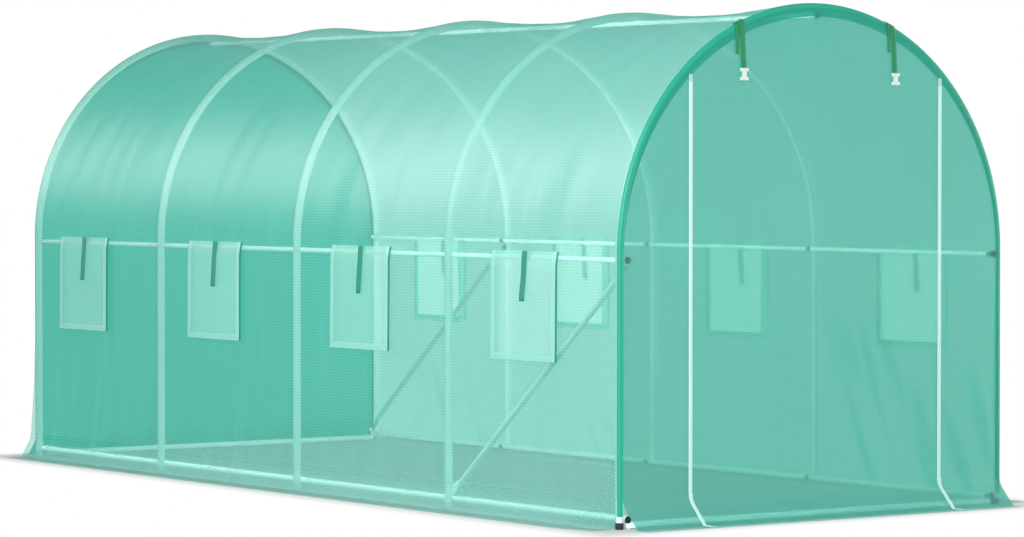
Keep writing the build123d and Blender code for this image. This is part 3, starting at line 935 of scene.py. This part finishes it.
def hang_flap(name, sign, middle, seed, node):
    """One flap and its hem, hung outside a window."""
    cut = flat_cut(22, 22, flap_width, flap_height)
    for edge in (-1, 1):
        slit(cut, (edge * (flap_width / 2 - hem_width), 0, 0), (1, 0, 0))
    slit(cut, (0, hem_width - flap_height / 2, 0), (0, 1, 0))
    keep_pattern(cut)
    hem = cut.copy()
    inside = [face for face in hem.faces if not in_hem(face.calc_center_median())]
    bmesh.ops.delete(hem, geom=inside, context="FACES")
    rim = [edge for edge in hem.edges if all(on_rim(vert.co) for vert in edge.verts)]
    bend_flap(hem, sign, middle, seed, hem_lift)
    turned = bmesh.ops.extrude_edge_only(hem, edges=rim)["geom"]
    inner = [item for item in turned if isinstance(item, bmesh.types.BMVert)]
    bmesh.ops.translate(hem, verts=inner, vec=(-sign * fold_depth, 0, 0))
    for item in turned:
        if isinstance(item, bmesh.types.BMFace):
            item.material_index = 1
    bend_flap(cut, sign, middle, seed, 0.0)
    body_film, edge_film, turned_edge_painted_film = flap_films_with_painted_light[sign]
    hem_films = (edge_film, turned_edge_painted_film)
    hem_piece = finish_piece(hem, f"{name}_hem", hem_films, "flap_sheet", node, sharp=40)
    piece = finish_piece(cut, name, [body_film], "flap_sheet", node)


for side, sign, number, middle in windows():
    hang_flap(f"{side}_flap_{number}", sign, middle, 2.3 * number + sign, f"{side}_window_flaps")

# %% Insect meshes
mesh_low, mesh_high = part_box("window_meshes")
mesh_height = mesh_high.z - mesh_low.z
mesh_half, mesh_belly = 0.00075, 0.004
mesh_place = mesh_high.x - mesh_half


def sew_mesh(name, sign, middle):
    """Fine mesh sewn inside a window."""
    width = window_width + 2 * mesh_margin
    cut = flat_cut(10, 10, width, mesh_height)
    keep_pattern(cut)
    for vert in cut.verts:
        side, up = vert.co.x, vert.co.y
        belly = mesh_belly * cos(pi * side / width) * cos(pi * up / mesh_height)
        vert.co = (sign * (mesh_place - belly), middle + side, (mesh_low.z + mesh_high.z) / 2 + up)
    piece = finish_piece(cut, name, [mesh_film], "insect_mesh", "window_meshes")


for side, sign, number, middle in windows():
    sew_mesh(f"{side}_mesh_{number}", sign, middle)

# %% Ties
tie_low, tie_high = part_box("left_flap_ties")
tie_width, tie_thickness = 0.032, 0.0014
tie_length = tie_high.z - tie_low.z
tie_lean, tie_shift = radians(3.5), -0.016
tie_stand, tie_swing, tie_sway, tie_bow = 0.013, 0.03, 0.003, 0.0015


def hang_tie(name, sign, middle, seed, node):
    """A strap that hangs from the top of a flap, leaning a little."""
    cut = flat_cut(4, 16, tie_width, tie_length)
    keep_pattern(cut)
    for vert in cut.verts:
        side, up = vert.co.x, vert.co.y
        drop = tie_length / 2 - up
        sway = tie_sway * wave(drop * 12.0, seed, 0.4)
        bow = tie_bow * cos(pi * side / tie_width)
        out = flap_face + tie_stand + tie_swing * drop + sway - bow
        along = middle + tie_shift + side + drop * sin(tie_lean) * -sign
        vert.co = (sign * out, along, tie_high.z - drop)
    bmesh.ops.recalc_face_normals(cut, faces=cut.faces)
    piece = finish_piece(cut, name, [tie_webbing], "webbing", node)
    piece.visible_shadow = sign < 0
    thicken(piece, tie_thickness)


for side, sign, number, middle in windows():
    hang_tie(f"{side}_tie_{number}", sign, middle, 1.7 * number + sign, f"{side}_flap_ties")

# %% [markdown]
# ## Zips
#
# Two long zips close the door. Each is a woven tape with a row of small teeth and a slider. The
# tape follows the end sheet down, bends out over the skirt and ends at its edge. The teeth are
# tiny blocks, so there are many of them with few faces each.

# %% Zip path
zip_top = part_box("door_zips")[1].z
zip_run = zip_top - skirt_top + skirt_run
zip_width, zip_lift = 0.018, 0.0035
tape_end, tape_thickness = 0.036, 0.0012


def zip_point(run, lift):
    """Place along and height of the zip, a run from its top end, at a lift off the sheet."""
    if run < zip_top - skirt_top - fold_reach:
        return -(end_place + lift), zip_top - run
    out, low, face_out, face_up = skirt_point(run - (zip_top - skirt_top), end_flare)
    return -(end_place + out + lift * face_out), low + lift * face_up


def zip_tape(name, side):
    """The tape of one zip."""
    cut = flat_cut(6, 120, zip_width, zip_run)
    keep_pattern(cut)
    for vert in cut.verts:
        along, height = zip_point(zip_run / 2 - vert.co.y, zip_lift)
        vert.co = (side + vert.co.x, along, height)
    bmesh.ops.recalc_face_normals(cut, faces=cut.faces)
    for face in cut.faces:
        face.material_index = 1 if face.calc_center_median().z > zip_top - tape_end else 0
    piece = finish_piece(cut, name, (zip_white, mint_tape), "zip_tape", "door_zips")
    thicken(piece, tape_thickness)


# %% Zip teeth
tooth_pitch, tooth_shift, tooth_lift = 0.007, 0.0012, 0.0014
tooth_size = (0.0065, 0.0026, 0.0042)
foot_gap, next_step = 0.01, 0.001


def zip_teeth(name, side):
    """The teeth of one zip, left and right in turn."""
    shape = bmesh.new()
    count = int((zip_run - tape_end - foot_gap) / tooth_pitch)
    for number in range(count):
        run = tape_end + tooth_pitch * number
        along, height = zip_point(run, zip_lift + tooth_lift)
        after = zip_point(run + next_step, zip_lift + tooth_lift)
        lean = Vector((0, after[0] - along, after[1] - height)).to_track_quat("-Z", "Y")
        shift = tooth_shift if number % 2 else -tooth_shift
        place = Matrix.Translation((side + shift, along, height)) @ lean.to_matrix().to_4x4()
        size = Matrix.Diagonal((*tooth_size, 1.0))
        bmesh.ops.create_cube(shape, size=1.0, matrix=place @ size)
    finish_piece(shape, name, [zip_white], "zip_tape", sharp=40)


for label, side in (("left", -zip_place), ("right", zip_place)):
    zip_tape(f"{label}_zip_tape", side)
    zip_teeth(f"{label}_zip_teeth", side)

# %% [markdown]
# Each zip has a slider at the foot of the door, with a flat tab to pull. Two bevelled blocks are
# enough at this size.


# %% Sliders
def add_block(shape, place, size, soften):
    """A block with softened edges, at a place, of a size."""
    stand = Matrix.Translation(place) @ Matrix.Diagonal((*size, 1.0))
    made = bmesh.ops.create_cube(shape, size=1.0, matrix=stand)
    edges = {edge for vert in made["verts"] for edge in vert.link_edges}
    bmesh.ops.bevel(
        shape, geom=list(edges), offset=soften, affect="EDGES", segments=2, profile=0.5, material=-1
    )


sliders = bmesh.new()
slider_size, slider_soft = (0.012, 0.007, 0.017), 0.002
tab_size, tab_soft = (0.008, 0.002, 0.034), 0.0008
tab_side, tab_front, tab_drop = 0.001, 0.005, 0.016
slider_height, slider_front = skirt_top + 0.02, 0.004
for side in (-zip_place, zip_place):
    along = -(end_place + zip_lift + slider_front)
    add_block(sliders, (side, along, slider_height), slider_size, slider_soft)
    tab_place = (side + tab_side, along - tab_front, slider_height - tab_drop)
    add_block(sliders, tab_place, tab_size, tab_soft)
finish_piece(sliders, "zip_sliders", [zip_white], "zip_tape", sharp=50)

# %% [markdown]
# ## Door straps
#
# Two straps hold the door when it is rolled up. Each lies over the end hoop, hangs down in front and
# ends in a moulded buckle, with a shorter tail beside it. A strap is a ribbon bent along a path: a
# quarter turn round the sleeve and a straight drop that stands off a little at its end.

# %% Straps
buckle_low, buckle_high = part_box("strap_buckles")
buckle_width = 0.042
strap_place = buckle_high.x - buckle_width / 2
strap_clear = 0.0035
strap_turn = sleeve_radius + strap_clear
strap_width, tail_width, strap_gap, strap_thickness = 0.026, 0.016, 0.002, 0.0016
strap_bow, strap_swing, strap_sway, level_reach = 0.0012, 0.035, 0.004, 0.05


def hang_strap(name, side, width, foot, lean, seed):
    """A ribbon over the end hoop, at a place across the door, down to a height."""
    crown_lean = asin(side / hoop_line)
    middle = spring + hoop_line * cos(crown_lean)
    over = pi / 2 * strap_turn
    length = over + middle - foot
    cut = flat_cut(4, 40, width, length)
    keep_pattern(cut)
    for vert in cut.verts:
        across, run = vert.co.x, length / 2 - vert.co.y
        drop = max(0.0, run - over)
        turn = min(run, over) / strap_turn
        sway = strap_sway * drop / length * wave(drop * 14.0, seed, 1.1)
        bow = strap_bow * cos(pi * across / width)
        along = half_length + (strap_turn + bow) * sin(turn) + strap_swing * drop + sway
        height = middle + strap_turn * cos(turn) / cos(crown_lean) - drop
        height -= across * sin(crown_lean) * max(0.0, 1.0 - drop / level_reach)
        vert.co = (side + across + lean * drop, -along, height)
    bmesh.ops.recalc_face_normals(cut, faces=cut.faces)
    piece = finish_piece(cut, name, [webbing], "webbing", "door_straps")
    thicken(piece, strap_thickness)


# %% Hang the straps and buckles
buckles = bmesh.new()
buckle_height = buckle_high.z - buckle_low.z
buckle_waist, buckle_bar, buckle_overlap = 0.022, 0.014, 0.008
buckle_shift, buckle_front = 0.004, 0.012
waist_depth, waist_soft, bar_depth, bar_soft = 0.005, 0.0015, 0.008, 0.003
bar_shift = (buckle_height - buckle_bar) / 2
strap_lean, tail_lean, tail_drop = 0.03, -0.02, 0.100
strap_slack = {"left": 0.008, "right": 0.018}
for label, side in (("left", -strap_place), ("right", strap_place)):
    slack = strap_slack[label]
    foot = buckle_high.z - buckle_overlap - slack
    hang_strap(f"{label}_strap", side, strap_width, foot, strap_lean, 2.0 + side)
    tail_side = side - (strap_width + tail_width) / 2 - strap_gap
    tail_foot = spring + sqrt(hoop_line**2 - tail_side**2) - tail_drop
    hang_strap(f"{label}_strap_tail", tail_side, tail_width, tail_foot, tail_lean, 5.0 + side)
    middle = Vector(
        (
            side + buckle_shift,
            -(half_length + strap_turn + buckle_front),
            (buckle_low.z + buckle_high.z) / 2 - slack,
        )
    )
    add_block(buckles, middle, (buckle_waist, waist_depth, buckle_height), waist_soft)
    for shift in (-bar_shift, bar_shift):
        bar_place = middle + Vector((0, 0, shift))
        add_block(buckles, bar_place, (buckle_width, bar_depth, buckle_bar), bar_soft)
finish_piece(buckles, "buckles", [buckle_white], "buckle_plastic", "strap_buckles", sharp=50)

# %% [markdown]
# ## Bolts
#
# A bolt holds each rail to each hoop, and one holds each end of a brace. Through the film they are
# small grey dots. A hexagon cut from a cone, softened by a bevel, on a round washer is enough, and
# the same small shape serves everywhere.

# %% Shape of a bolt
bolt_size, bolt_soft = 0.016, 0.05
washer, nut = (20, 0.75, 0.0, 0.12), (6, 0.52, 0.12, 0.62)


def add_bolt(shape, place, axis, size):
    """A washer and a hexagon nut, standing on a place and pointing along an axis."""
    turn = Vector(axis).to_track_quat("Z", "Y").to_matrix().to_4x4()
    for sides, radius, low, high in (washer, nut):
        stand = Matrix.Translation(Vector(place) + Vector(axis) * size * (low + high) / 2) @ turn
        made = bmesh.ops.create_cone(
            shape,
            cap_ends=True,
            segments=sides,
            radius1=radius * size,
            radius2=radius * size,
            depth=(high - low) * size,
            matrix=stand,
        )
        rim = {edge for vert in made["verts"] for edge in vert.link_edges}
        bmesh.ops.bevel(
            shape,
            geom=list(rim),
            offset=bolt_soft * size,
            affect="EDGES",
            segments=1,
            profile=0.5,
            material=-1,
        )


# %% Bolts
bolts = bmesh.new()
rail_low, rail_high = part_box("right_side_rail")
base_low, base_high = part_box("right_base_rail")
rail_height, base_height = (rail_low.z + rail_high.z) / 2, (base_low.z + base_high.z) / 2
ridge_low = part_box("ridge_rail")[0].z
for place in hoop_places:
    add_bolt(bolts, (0, place, ridge_low), (0, 0, -1), bolt_size)
    for sign in (-1, 1):
        add_bolt(bolts, (sign * rail_low.x, place, rail_height), (-sign, 0, 0), bolt_size)
        add_bolt(bolts, (sign * base_low.x, place, base_height), (-sign, 0, 0), bolt_size)
brace_flat, brace_end = 0.0043, 0.015
brace_face = half_width - tube - brace_flat
braces = (("left_front_brace", -1, hoop_places[1]), ("right_rear_brace", 1, hoop_places[4]))
for label, sign, low_place in braces:
    low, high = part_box(label)
    for place, height in ((low_place, low.z + brace_end), (low_place - bay, high.z - brace_end)):
        add_bolt(bolts, (sign * brace_face, place, height), (-sign, 0, 0), bolt_size)
finish_piece(bolts, "frame_bolts", [zinc], "tube", sharp=30)
